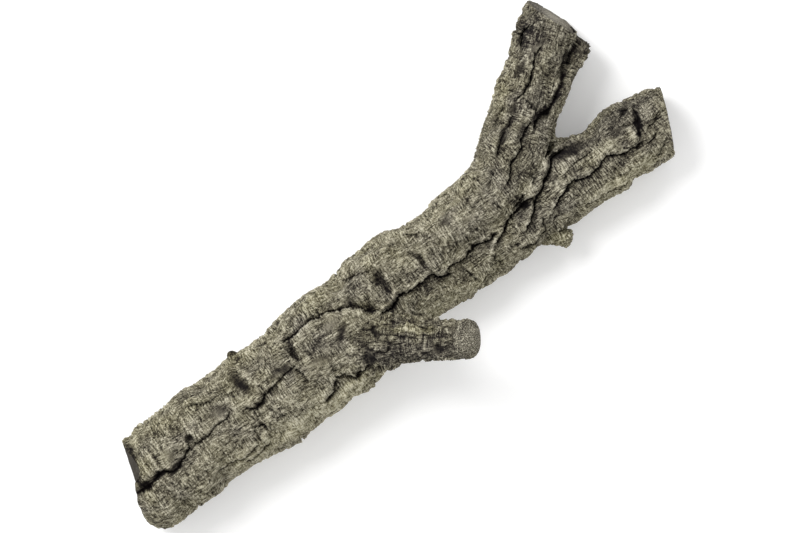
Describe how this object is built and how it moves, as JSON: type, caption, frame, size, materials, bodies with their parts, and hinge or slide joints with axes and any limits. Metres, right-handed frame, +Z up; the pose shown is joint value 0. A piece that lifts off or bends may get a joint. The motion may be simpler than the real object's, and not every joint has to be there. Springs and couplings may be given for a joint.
{
  "type": "cork branch",
  "caption": "Branch of cork oak in its bark, lying down: a thick cracked trunk forking into an upright and a long limb, with a sawn side branch on top and a twig stub.",
  "frame": {"origin": "on the resting surface, on the flat of the trunk's underside below its middle", "axes": "+X along the trunk from the sawn butt to the fork and the long limb, +Y toward the side the upright limb leans to, +Z up from the resting surface"},
  "size_m": [0.637, 0.2518, 0.154],
  "materials": {
    "trunk_bark": "dry, rough, deeply cracked cork bark, grey-brown with olive and tan ribs",
    "upright_limb_bark": "dry, rough, deeply cracked cork bark, cool grey-brown, with a paler sawn end",
    "long_limb_bark": "dry, rough, deeply cracked cork bark, grey on top and olive-tan below",
    "side_branch_bark": "dry, lumpy, darker grey cork bark with a granular sawn end"
  },
  "bodies": {
    "root": {"trunk": "trunk_bark", "upright_limb": "upright_limb_bark", "long_limb": "long_limb_bark", "side_branch": "side_branch_bark"}
  },
  "joints": []
}
